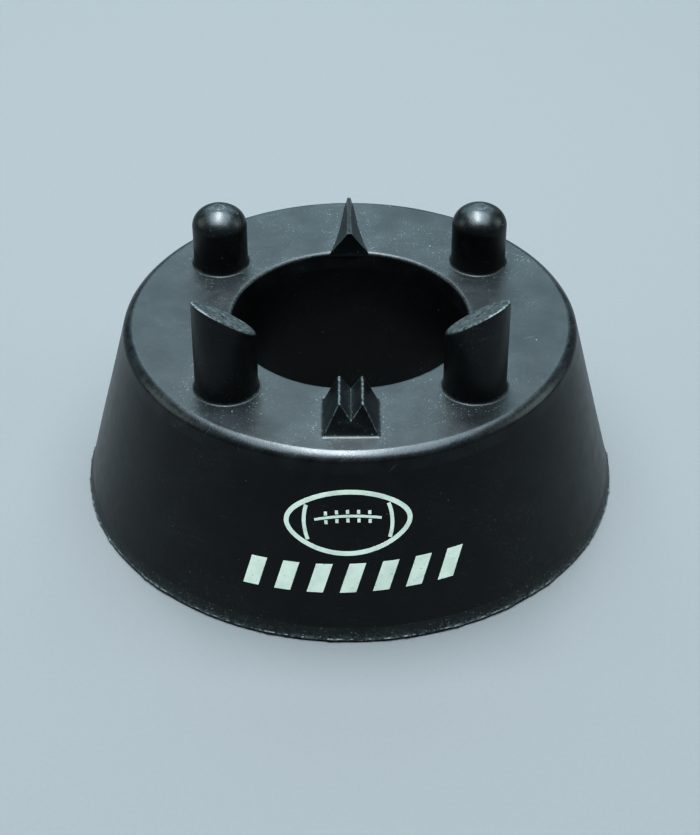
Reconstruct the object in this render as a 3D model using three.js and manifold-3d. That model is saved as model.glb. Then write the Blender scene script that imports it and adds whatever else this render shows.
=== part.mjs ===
// A rugby kicking tee: the moulded rubber stand that holds the ball upright for a place kick.
//
// Units are millimetres and +Z is up. The origin is the centre of the foot, on the ground.
// The kicker stands on the -Y side, behind the notch sight. The ridge sight is opposite it, on the +Y side.
// The tee comes out of its mould in one piece. Each feature of that moulding is a solid of its own here:
// a deck on an outer skirt and a throat wall, a foot rim, four pegs, two sights and the webs under the deck.

import * as THREE from 'three';
import { mergeVertices } from 'three/addons/utils/BufferGeometryUtils.js';
import Module from 'manifold-3d';

// The body: a cut-off cone with a hole through it.
const BASE_RADIUS = 80;
const DECK_RADIUS = 66; // where the skirt would meet the deck if the shoulder were sharp
const DECK_HEIGHT = 55.25;
const SHOULDER_RADIUS = 3.5;
const THROAT_RADIUS = 34.8; // at the deck
const THROAT_FOOT_RADIUS = 34; // at the ground

// Walls of the hollow underside.
const DECK_THICKNESS = 5.5;
const SKIRT_WALL = 5;
const THROAT_WALL = 4.5;
const FOOT_RIM_HEIGHT = 4.5;
const FOOT_RIM_WIDTH = 9;

// Pegs that hold the ball. They stand midway across the deck.
const PEG_FOOT_FILLET = 0.9;
const NEAR_PEG_ANGLE = 45; // from the X axis towards -Y, on each side
const NEAR_PEG_RADIUS = 8.85;
const NEAR_PEG_HEIGHT = 23.8; // on the peg's own axis
const NEAR_PEG_SLANT = 37.5; // how steeply the top face falls towards the throat
const NEAR_PEG_FACING = 38; // the way it falls: from the X axis towards +Y, on each side
const FAR_PEG_ANGLE = 37; // from the X axis towards +Y, on each side
const FAR_PEG_RADIUS = 8.2;
const FAR_PEG_HEIGHT = 19.6;
const FAR_PEG_DOME = 6.4; // height of the rounded top

// Notch sight: two ridges with a V groove between them, which points along Y.
const NOTCH_WIDTH = 15.4;
const NOTCH_HEIGHT = 8.3;
const NOTCH_LENGTH = 16.8;
const NOTCH_RIDGE_SPACING = 6.4;
const NOTCH_RIDGE_LAND = 0.5;
const NOTCH_GROOVE_DEPTH = 4.2;
const NOTCH_FRONT_SLOPE = 3.6; // how far the front leans back over the full height
const NOTCH_OFFSET = 0.5; // how far its middle is outside the circle that the pegs stand on

// Ridge sight: one ridge that falls and narrows from the lip of the throat to the shoulder.
const RIDGE_WIDTH = 11.6;
const RIDGE_HEIGHT = 6.7;
const RIDGE_TIP_WIDTH = 2.2;
const RIDGE_TIP_HEIGHT = 2.6;
const RIDGE_LAND = 1.1;
const RIDGE_TIP_GAP = 0.3; // from the tip to the start of the rounded shoulder

// Webs that stiffen the deck, one under each peg and each sight.
const WEB_THICKNESS = 4;
const WEB_GROUND_CLEARANCE = 12;
const WEB_END_GAP = 0.3;

// How finely round shapes are cut into flats.
const BODY_SEGMENTS = 72;
const PEG_SEGMENTS = 36;
const ARC_STEPS = 5;
const DOME_STEPS = 6;
const WELD_DISTANCE = 1e-4;

const manifold = await Module();
manifold.setup();

const UNDER_DECK = DECK_HEIGHT - DECK_THICKNESS;
const SKIRT_LEAN = Math.atan2(BASE_RADIUS - DECK_RADIUS, DECK_HEIGHT); // from the vertical
// Radius at which the deck's flat top ends and its rounded shoulder begins.
const FLAT_RADIUS = DECK_RADIUS - SHOULDER_RADIUS * Math.tan((Math.PI / 2 - SKIRT_LEAN) / 2);
const PEG_PITCH_RADIUS = (THROAT_RADIUS + FLAT_RADIUS) / 2;

// Outer radius of the skirt's cone at a height.
function skirtRadiusAt(z) {
  return THREE.MathUtils.lerp(BASE_RADIUS, DECK_RADIUS, z / DECK_HEIGHT);
}

// Radius of the hole at a height.
function throatRadiusAt(z) {
  return THREE.MathUtils.lerp(THROAT_FOOT_RADIUS, THROAT_RADIUS, z / DECK_HEIGHT);
}

// Points on an arc about (r, z), from one angle to another in radians.
function arc(r, z, radius, from, to, steps) {
  const points = [];
  for (let i = 0; i <= steps; i++) {
    const angle = THREE.MathUtils.lerp(from, to, i / steps);
    points.push(new THREE.Vector2(r + radius * Math.cos(angle), z + radius * Math.sin(angle)));
  }
  return points;
}

// Joins the equal points of a closed geometry and drops the triangles that this flattens.
function weld(geometry) {
  geometry.deleteAttribute('normal');
  geometry.deleteAttribute('uv');
  const welded = mergeVertices(geometry, WELD_DISTANCE);
  const corners = welded.index.array;
  const kept = [];
  for (let i = 0; i < corners.length; i += 3) {
    const [a, b, c] = corners.subarray(i, i + 3);
    if (a !== b && b !== c && c !== a) {
      kept.push(a, b, c);
    }
  }
  welded.setIndex(kept);
  return welded;
}

// Turns an outline of (radius, height) points about the Z axis. The outline runs counterclockwise.
function revolve(outline, segments) {
  const lathe = new THREE.LatheGeometry([...outline, outline[0].clone()], segments);
  return weld(lathe.rotateX(Math.PI / 2));
}

// Makes a plate that is as thick as given, centred on the XZ plane, from an outline of (x, z) points.
function plate(outline, thickness) {
  const slab = new THREE.ExtrudeGeometry(new THREE.Shape(outline), { depth: thickness, bevelEnabled: false });
  return weld(slab.translate(0, 0, -thickness / 2).rotateX(Math.PI / 2));
}

function toManifold(geometry) {
  const vertProperties = Float32Array.from(geometry.attributes.position.array);
  const triVerts = Uint32Array.from(geometry.index.array);
  return new manifold.Manifold(new manifold.Mesh({ numProp: 3, vertProperties, triVerts }));
}

function toGeometry(solid) {
  const { vertProperties, triVerts } = solid.getMesh();
  const geometry = new THREE.BufferGeometry();
  geometry.setAttribute('position', new THREE.BufferAttribute(vertProperties, 3));
  geometry.setIndex(new THREE.BufferAttribute(triVerts, 1));
  return geometry;
}

// The deck with its rounded shoulder. Its rim and its hole carry on the slopes of the two walls below it.
function deckGeometry() {
  const outline = [
    new THREE.Vector2(throatRadiusAt(UNDER_DECK), UNDER_DECK),
    new THREE.Vector2(skirtRadiusAt(UNDER_DECK), UNDER_DECK),
    ...arc(FLAT_RADIUS, DECK_HEIGHT - SHOULDER_RADIUS, SHOULDER_RADIUS, SKIRT_LEAN, Math.PI / 2, ARC_STEPS),
    new THREE.Vector2(THROAT_RADIUS, DECK_HEIGHT),
  ];
  return revolve(outline, BODY_SEGMENTS);
}

function skirtGeometry() {
  const outline = [
    new THREE.Vector2(skirtRadiusAt(FOOT_RIM_HEIGHT) - SKIRT_WALL, FOOT_RIM_HEIGHT),
    new THREE.Vector2(skirtRadiusAt(FOOT_RIM_HEIGHT), FOOT_RIM_HEIGHT),
    new THREE.Vector2(skirtRadiusAt(UNDER_DECK), UNDER_DECK),
    new THREE.Vector2(skirtRadiusAt(UNDER_DECK) - SKIRT_WALL, UNDER_DECK),
  ];
  return revolve(outline, BODY_SEGMENTS);
}

function footRimGeometry() {
  const outline = [
    new THREE.Vector2(BASE_RADIUS - FOOT_RIM_WIDTH, 0),
    new THREE.Vector2(BASE_RADIUS, 0),
    new THREE.Vector2(skirtRadiusAt(FOOT_RIM_HEIGHT), FOOT_RIM_HEIGHT),
    new THREE.Vector2(skirtRadiusAt(FOOT_RIM_HEIGHT) - FOOT_RIM_WIDTH, FOOT_RIM_HEIGHT),
  ];
  return revolve(outline, BODY_SEGMENTS);
}

function throatWallGeometry() {
  const outline = [
    new THREE.Vector2(THROAT_FOOT_RADIUS, 0),
    new THREE.Vector2(THROAT_FOOT_RADIUS + THROAT_WALL, 0),
    new THREE.Vector2(throatRadiusAt(UNDER_DECK) + THROAT_WALL, UNDER_DECK),
    new THREE.Vector2(throatRadiusAt(UNDER_DECK), UNDER_DECK),
  ];
  return revolve(outline, BODY_SEGMENTS);
}

// The foot of a peg: the centre of its underside, then the fillet that spreads onto the deck.
function pegFoot(radius) {
  const outer = radius + PEG_FOOT_FILLET;
  const fillet = arc(outer, PEG_FOOT_FILLET, PEG_FOOT_FILLET, -Math.PI / 2, -Math.PI, ARC_STEPS);
  return [new THREE.Vector2(0, 0), ...fillet];
}

// A near peg: a cylinder whose top is cut on a slant that rises along the peg's own +X.
function nearPegGeometry() {
  const slant = THREE.MathUtils.degToRad(NEAR_PEG_SLANT);
  const rise = NEAR_PEG_RADIUS * Math.tan(slant);
  const blankHeight = NEAR_PEG_HEIGHT + 2 * rise;
  const outline = [
    ...pegFoot(NEAR_PEG_RADIUS),
    new THREE.Vector2(NEAR_PEG_RADIUS, blankHeight),
    new THREE.Vector2(0, blankHeight),
  ];
  const cutterSize = 2 * (blankHeight + NEAR_PEG_RADIUS);
  const cutter = new THREE.BoxGeometry(cutterSize, cutterSize, cutterSize);
  cutter.translate(0, 0, cutterSize / 2).rotateY(-slant).translate(0, 0, NEAR_PEG_HEIGHT);
  const blank = toManifold(revolve(outline, PEG_SEGMENTS));
  return toGeometry(blank.subtract(toManifold(weld(cutter))));
}

// A far peg: a cylinder with a domed top, a little flatter than half a ball.
function farPegGeometry() {
  const outline = pegFoot(FAR_PEG_RADIUS);
  for (let i = 0; i <= DOME_STEPS; i++) {
    const angle = (Math.PI / 2) * (i / DOME_STEPS);
    const z = FAR_PEG_HEIGHT - FAR_PEG_DOME * (1 - Math.sin(angle));
    outline.push(new THREE.Vector2(i < DOME_STEPS ? FAR_PEG_RADIUS * Math.cos(angle) : 0, z));
  }
  return revolve(outline, PEG_SEGMENTS);
}

// The notch sight's W-shaped section, cut by the outline of its sloping front.
function notchGeometry() {
  const inner = (NOTCH_RIDGE_SPACING - NOTCH_RIDGE_LAND) / 2;
  const outer = (NOTCH_RIDGE_SPACING + NOTCH_RIDGE_LAND) / 2;
  const section = [
    new THREE.Vector2(-NOTCH_WIDTH / 2, 0),
    new THREE.Vector2(NOTCH_WIDTH / 2, 0),
    new THREE.Vector2(outer, NOTCH_HEIGHT),
    new THREE.Vector2(inner, NOTCH_HEIGHT),
    new THREE.Vector2(0, NOTCH_HEIGHT - NOTCH_GROOVE_DEPTH),
    new THREE.Vector2(-inner, NOTCH_HEIGHT),
    new THREE.Vector2(-outer, NOTCH_HEIGHT),
  ];
  const side = [
    new THREE.Vector2(-NOTCH_LENGTH / 2, 0),
    new THREE.Vector2(NOTCH_LENGTH / 2, 0),
    new THREE.Vector2(NOTCH_LENGTH / 2, NOTCH_HEIGHT),
    new THREE.Vector2(NOTCH_FRONT_SLOPE - NOTCH_LENGTH / 2, NOTCH_HEIGHT),
  ];
  const bar = plate(section, NOTCH_LENGTH);
  const profile = plate(side, NOTCH_WIDTH).rotateZ(Math.PI / 2);
  return toGeometry(toManifold(bar).intersect(toManifold(profile)));
}

// One end of the ridge sight: a base width, a height and the narrow land on top, at a place along Y.
function ridgeSection(y, width, height) {
  return [
    [-width / 2, y, 0],
    [width / 2, y, 0],
    [RIDGE_LAND / 2, y, height],
    [-RIDGE_LAND / 2, y, height],
  ];
}

// The ridge sight: its tall end is flush with the lip of the throat, and its tip stops at the shoulder.
function ridgeGeometry() {
  const tall = ridgeSection(THROAT_RADIUS, RIDGE_WIDTH, RIDGE_HEIGHT);
  const tip = ridgeSection(FLAT_RADIUS - RIDGE_TIP_GAP, RIDGE_TIP_WIDTH, RIDGE_TIP_HEIGHT);
  const corners = tall.length;
  const triangles = [0, 1, 2, 0, 2, 3, 4, 6, 5, 4, 7, 6];
  for (let i = 0; i < corners; i++) {
    const next = (i + 1) % corners;
    triangles.push(i, i + corners, next, next, i + corners, next + corners);
  }
  const geometry = new THREE.BufferGeometry();
  geometry.setAttribute('position', new THREE.Float32BufferAttribute([...tall, ...tip].flat(), 3));
  geometry.setIndex(triangles);
  return geometry;
}

// A web: an upright plate that fills the hollow from wall to wall, hung from the underside of the deck.
function webGeometry() {
  const inside = (z) => throatRadiusAt(z) + THROAT_WALL + WEB_END_GAP;
  const outside = (z) => skirtRadiusAt(z) - SKIRT_WALL - WEB_END_GAP;
  const outline = [
    new THREE.Vector2(inside(WEB_GROUND_CLEARANCE), WEB_GROUND_CLEARANCE),
    new THREE.Vector2(outside(WEB_GROUND_CLEARANCE), WEB_GROUND_CLEARANCE),
    new THREE.Vector2(outside(UNDER_DECK), UNDER_DECK),
    new THREE.Vector2(inside(UNDER_DECK), UNDER_DECK),
  ];
  return plate(outline, WEB_THICKNESS);
}

// Black moulded rubber, as rough as given.
function rubber(color, roughness) {
  return new THREE.MeshStandardMaterial({ color, roughness, metalness: 0, flatShading: true });
}

const tee = new THREE.Group();
tee.name = 'rugby_kicking_tee';

function addPiece(name, geometry, material) {
  const mesh = new THREE.Mesh(geometry, material);
  mesh.name = name;
  tee.add(mesh);
  return mesh;
}

addPiece('top_deck', deckGeometry(), rubber(0x2b3033, 0.5));
addPiece('outer_skirt', skirtGeometry(), rubber(0x15181a, 0.45));
addPiece('foot_rim', footRimGeometry(), rubber(0x24282a, 0.6));
addPiece('throat_wall', throatWallGeometry(), rubber(0x121415, 0.55));

const ridgeMesh = addPiece('ridge_sight', ridgeGeometry(), rubber(0x1b1e20, 0.5));
ridgeMesh.position.z = DECK_HEIGHT;

const notchMesh = addPiece('notch_sight', notchGeometry(), rubber(0x1b1e20, 0.5));
notchMesh.position.set(0, -PEG_PITCH_RADIUS - NOTCH_OFFSET, DECK_HEIGHT);

const pegs = [
  { name: 'near_right_peg', place: -NEAR_PEG_ANGLE, turn: -NEAR_PEG_FACING, shape: nearPegGeometry },
  { name: 'near_left_peg', place: NEAR_PEG_ANGLE - 180, turn: NEAR_PEG_FACING - 180, shape: nearPegGeometry },
  { name: 'far_right_peg', place: FAR_PEG_ANGLE, turn: 0, shape: farPegGeometry },
  { name: 'far_left_peg', place: 180 - FAR_PEG_ANGLE, turn: 0, shape: farPegGeometry },
];
const webs = [
  { name: 'notch_web', place: -90 },
  { name: 'ridge_web', place: 90 },
];

for (const { name, place, turn, shape } of pegs) {
  const peg = addPiece(name, shape(), rubber(0x191c1e, 0.45));
  const angle = THREE.MathUtils.degToRad(place);
  peg.position.set(PEG_PITCH_RADIUS * Math.cos(angle), PEG_PITCH_RADIUS * Math.sin(angle), DECK_HEIGHT);
  peg.rotation.z = THREE.MathUtils.degToRad(turn);
  webs.push({ name: name.replace('peg', 'web'), place });
}
for (const { name, place } of webs) {
  const web = addPiece(name, webGeometry(), rubber(0x202325, 0.65));
  web.rotation.z = THREE.MathUtils.degToRad(place);
}

export default tee;
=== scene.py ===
# %% [markdown]
# # A rugby kicking tee
# A kicking tee is the small stand that holds a rugby ball upright on the grass for a place kick. This one
# is a single piece of black rubber, pressed in a steel mould: a low cone with a hole through it, four pegs
# that cradle the ball, and two sights on the deck that help the kicker line it up. Rubber has almost no
# colour of its own, so the picture is made by shape, gloss and dirt: round shoulders that catch the light,
# and dust that dulls them.
#
# The frame below is the design, with a plain solid for every feature. Each feature gets a finer mesh
# that takes its place from that solid, so nothing here is measured twice.

# %% Load the frame
import math

import bmesh
import bpy
import mathutils
import numpy as np
from mathutils import Matrix, Vector


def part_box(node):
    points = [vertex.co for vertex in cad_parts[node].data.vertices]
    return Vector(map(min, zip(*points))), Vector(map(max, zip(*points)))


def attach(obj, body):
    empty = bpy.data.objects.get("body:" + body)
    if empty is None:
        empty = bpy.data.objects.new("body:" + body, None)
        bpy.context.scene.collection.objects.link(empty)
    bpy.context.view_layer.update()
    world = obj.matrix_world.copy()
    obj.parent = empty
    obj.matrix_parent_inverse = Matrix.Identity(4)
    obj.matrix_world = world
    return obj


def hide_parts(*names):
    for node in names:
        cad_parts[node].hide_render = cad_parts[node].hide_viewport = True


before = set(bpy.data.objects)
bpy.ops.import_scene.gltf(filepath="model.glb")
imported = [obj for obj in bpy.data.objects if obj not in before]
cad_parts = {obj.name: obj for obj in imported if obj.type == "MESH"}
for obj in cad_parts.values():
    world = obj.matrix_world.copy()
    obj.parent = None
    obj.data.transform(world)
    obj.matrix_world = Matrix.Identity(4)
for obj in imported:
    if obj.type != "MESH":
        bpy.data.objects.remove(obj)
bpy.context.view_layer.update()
MM = 0.001
print("frame:", len(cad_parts), "nodes")

# %% [markdown]
# ## Sizes that the pieces share
# The design's boxes give nearly everything: the deck's height, the two ends of the skirt's slope and the
# middle of each peg. Wall thicknesses are hidden inside those boxes, so they are named here in millimetres.

# %% Read the sizes from the frame
DECK_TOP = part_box("top_deck")[1].z
DECK_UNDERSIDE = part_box("top_deck")[0].z
BASE_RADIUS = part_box("foot_rim")[1].x
RIM_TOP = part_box("foot_rim")[1].z
RIM_WIDTH = 9 * MM
SKIRT_WALL = 5 * MM
THROAT_WALL = 4.5 * MM
LIP_ROUND = 1.2 * MM
SKIRT_SLOPE = (BASE_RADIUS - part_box("top_deck")[1].x) / DECK_UNDERSIDE
SKIRT_LEAN = math.atan(SKIRT_SLOPE)
THROAT_TOP_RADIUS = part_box("throat_wall")[1].x - THROAT_WALL
THROAT_DRAFT = 0.8 * MM
THROAT_SLOPE = THROAT_DRAFT / DECK_TOP


def skirt_radius(z):
    """Outer radius of the skirt at a height."""
    return BASE_RADIUS - SKIRT_SLOPE * z


def throat_radius(z):
    """Radius of the hole at a height."""
    return THROAT_TOP_RADIUS + THROAT_SLOPE * (z - DECK_UNDERSIDE)


print(f"deck top at {DECK_TOP / MM:.2f} mm, skirt leans {math.degrees(SKIRT_LEAN):.1f} degrees")

# %% [markdown]
# ## Node trees
# Materials and Geometry Nodes are both trees of nodes, and both are built the same way: add a node, set
# what it is, and plug in its inputs. One helper does that for either kind. Writing trees in code keeps
# every number in sight, where a tree drawn by hand hides it in a panel.


# %% A helper that adds one node
def node(tree, kind, inputs=(), **settings):
    """Adds a node. inputs maps a socket's name or number to a value, to a node's output or to a node."""
    new = tree.nodes.new(kind)
    for key, value in settings.items():
        setattr(new, key, value)
    for key, value in dict(inputs).items():
        if isinstance(value, bpy.types.Node):
            value = next(output for output in value.outputs if output.enabled)
        if isinstance(key, str):
            socket = next(found for found in new.inputs if found.name == key and found.enabled)
        else:
            socket = new.inputs[key]
        if isinstance(value, bpy.types.NodeSocket):
            tree.links.new(value, socket)
        else:
            socket.default_value = value
    return new


def srgb(code):
    """Turns a colour code such as #2a3b4c, which is how screens hold colour, into linear light with alpha."""
    channels = [int(code[i:i + 2], 16) / 255 for i in (1, 3, 5)]
    return [c / 12.92 if c <= 0.04045 else ((c + 0.055) / 1.055) ** 2.4 for c in channels] + [1.0]


print("mid grey in linear light:", [round(c, 3) for c in srgb("#808080")])

# %% [markdown]
# ## The camera
# The camera looks down at the tee from the kicker's side, as someone standing over it would. The lens is
# long and the camera is close for its size, about 60 cm away, so the near pegs look clearly bigger than the
# far ones. A portrait picture is measured by its height, so the sensor is fitted vertically.

# %% Place the camera
AIM = Vector((0, 0, 17.95 * MM))
CAMERA_DISTANCE = 609.3 * MM
CAMERA_ELEVATION = math.radians(37.19)
CAMERA_AZIMUTH = math.radians(-0.3)
SENSOR_HEIGHT = 36
LENS = 86.2

lens_data = bpy.data.cameras.new("camera")
lens_data.sensor_fit = "VERTICAL"
lens_data.sensor_height = SENSOR_HEIGHT
lens_data.lens = LENS
lens_data.clip_start = 0.01
camera = bpy.data.objects.new("camera", lens_data)
bpy.context.scene.collection.objects.link(camera)
away = Vector((math.sin(CAMERA_AZIMUTH) * math.cos(CAMERA_ELEVATION),
               -math.cos(CAMERA_AZIMUTH) * math.cos(CAMERA_ELEVATION),
               math.sin(CAMERA_ELEVATION)))
camera.location = AIM + away * CAMERA_DISTANCE
camera.rotation_euler = away.to_track_quat("Z", "Y").to_euler()
bpy.context.scene.camera = camera
print("camera at", [round(c, 3) for c in camera.location])

# %% [markdown]
# ## Floor and light
# Black rubber shows only what it reflects, so the lights are the real paint here. A sheet over the whole
# tee gives the round shoulder and the domed pegs their broad sheen, and a bright strip under it gives their
# hot spots. A pale panel behind the tee, opposite the camera, is what the flat deck mirrors at this low
# angle: it turns the deck slate grey while the walls stay near black. The walls mirror the floor, so the
# floor is plain paper that only looks pale because so much light falls on it.


# %% Lay the floor and hang the lights
def soft_box(name, place, aim, size, power, colour):
    """A rectangular light at a place, turned to face a point."""
    data = bpy.data.lights.new(name, "AREA")
    data.shape = "RECTANGLE"
    data.size, data.size_y = size
    data.energy = power
    data.color = colour
    lamp = bpy.data.objects.new(name, data)
    bpy.context.scene.collection.objects.link(lamp)
    lamp.location = place
    lamp.rotation_euler = (Vector(place) - Vector(aim)).to_track_quat("Z", "Y").to_euler()


soft_box("overhead_strip", (-0.08, 0.20, 1.3), (-0.08, 0.20, 0), (0.26, 1.1), 21, (0.90, 0.97, 1.0))
soft_box("ceiling_sheet", (0.0, 0.0, 1.5), (0, 0, 0), (1.8, 1.6), 54, (0.74, 0.90, 1.0))
soft_box("far_panel", (0.0, 1.8, 1.35), (0, 0, 0.05), (2.6, 1.2), 20, (0.62, 0.90, 1.0))
soft_box("left_panel", (-1.5, 0.2, 0.7), (0, 0, 0.03), (0.8, 0.8), 3, (0.9, 1.0, 0.95))
soft_box("right_panel", (1.5, 0.2, 0.7), (0, 0, 0.03), (0.8, 0.8), 4, (0.9, 1.0, 0.95))

world = bpy.data.worlds.new("studio_air")
world.use_nodes = True
world.node_tree.nodes["Background"].inputs["Color"].default_value = (0.80, 0.90, 1.0, 1.0)
world.node_tree.nodes["Background"].inputs["Strength"].default_value = 0.12
bpy.context.scene.world = world
bpy.context.scene.view_settings.view_transform = "Standard"
bpy.context.scene.view_settings.look = "High Contrast"

FLOOR_HALF = 3.0
floor_mesh = bpy.data.meshes.new("studio_floor")
floor_mesh.from_pydata([(x * FLOOR_HALF, y * FLOOR_HALF, 0) for x, y in ((-1, -1), (1, -1), (1, 1), (-1, 1))],
                       [], [(0, 1, 2, 3)])
floor = bpy.data.objects.new("studio_floor", floor_mesh)
bpy.context.scene.collection.objects.link(floor)

paper = bpy.data.materials.new("matt_background_paper")
paper.use_nodes = True
sheet = paper.node_tree.nodes["Principled BSDF"]
ground = node(paper.node_tree, "ShaderNodeTexCoord").outputs["Object"]
fibre = node(paper.node_tree, "ShaderNodeTexNoise", {"Vector": ground, "Scale": 900.0, "Detail": 3.0})
tone = node(paper.node_tree, "ShaderNodeMapRange", {"Value": fibre, "To Min": 0.128, "To Max": 0.14})
tint = node(paper.node_tree, "ShaderNodeCombineColor", {"Red": tone, "Green": tone, "Blue": tone})
paper.node_tree.links.new(tint.outputs[0], sheet.inputs["Base Color"])
sheet.inputs["Roughness"].default_value = 0.9
floor_mesh.materials.append(paper)
print("floor laid, lights hung")

# %% [markdown]
# ## Dirt and wear on rubber
# Clean rubber looks like a toy. A used tee carries wax bloom in soft patches, dust that clings in specks,
# and short scratches. Each mark below is one small function that gives a mask from 0 to 1, with its size in
# millimetres. A painted image could show all this on one part, but masks made from noise cost no memory,
# run on unbroken from one piece to the next, and never stretch.


# %% Masks for bloom, specks and scratches
def clouds(tree, place, size_mm, low, high, seed, detail=4.0):
    """Soft patches about size_mm across. They start where the noise passes low and are full at high."""
    noise = node(tree, "ShaderNodeTexNoise",
                 {"Vector": place, "W": seed, "Scale": 1000 / size_mm, "Detail": detail, "Distortion": 0.4},
                 noise_dimensions="4D")
    return node(tree, "ShaderNodeMapRange", {"Value": noise, "From Min": low, "From Max": high},
                interpolation_type="SMOOTHSTEP")


def specks(tree, place, cell_mm, largest, share, seed):
    """Round specks of random size in a share of the cells. largest is a radius, as a part of the cell."""
    moved = node(tree, "ShaderNodeVectorMath", {0: place, 1: (seed, 0, 0)}, operation="ADD")
    cells = node(tree, "ShaderNodeTexVoronoi", {"Vector": moved, "Scale": 1000 / cell_mm})
    chance = node(tree, "ShaderNodeSeparateColor", {"Color": cells.outputs["Color"]})
    chosen = node(tree, "ShaderNodeMath", {0: chance.outputs["Red"], 1: share}, operation="LESS_THAN")
    radius = node(tree, "ShaderNodeMath", {0: chance.outputs["Green"], 1: largest}, operation="MULTIPLY")
    core = node(tree, "ShaderNodeMath", {0: radius, 1: 0.5}, operation="MULTIPLY")
    spot = node(tree, "ShaderNodeMapRange",
                {"Value": cells.outputs["Distance"], "From Min": radius, "From Max": core})
    return node(tree, "ShaderNodeMath", {0: spot, 1: chosen}, operation="MULTIPLY")


def scratches(tree, place, turn, length_mm, width_mm, share, seed):
    """Fine scratches that all run one way: noise drawn out along the X axis, then turned."""
    drawn_out = (length_mm * MM, width_mm * MM, length_mm * MM)
    turned = node(tree, "ShaderNodeMapping", {"Vector": place, "Rotation": turn, "Scale": drawn_out},
                  vector_type="TEXTURE")
    streaks = node(tree, "ShaderNodeTexNoise", {"Vector": turned, "W": seed, "Scale": 1.0, "Detail": 1.0},
                   noise_dimensions="4D")
    return node(tree, "ShaderNodeMapRange",
                {"Value": streaks, "From Min": 1 - share, "From Max": 1 - share * 0.7})


# %% [markdown]
# ## Black moulded rubber
# The tee is natural rubber filled with carbon black, which makes it nearly colourless. A polished mould
# leaves a smooth, half-shiny skin: a roughness of 0.3 to 0.4 and a refractive index a little under that of
# clean rubber, 1.52, because wax has come to the surface. Bloom, dust and scratches lie on that skin, and
# each one raises the roughness as well as the colour, because dirt is dull.
#
# Three attributes on the pieces steer the finish. "wear" marks edges that hands, boots and balls rub grey,
# and on the near pegs' rims it is partly a painted highlight as well.
# "crevice" marks corners where dust gathers. "polish" marks rounds that handling has made smoother than the
# flats. All seven rubber finishes come from one function with different amounts.


# %% A function for rubber finishes
POLISH = 0.13
DECK_SCRATCHES = ((0, 0, 0.35), (0, 0, -1.1))
WALL_SCRATCHES = ((math.pi / 2, 0, 0.5), (math.pi / 2, 0.9, -0.6))


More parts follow.
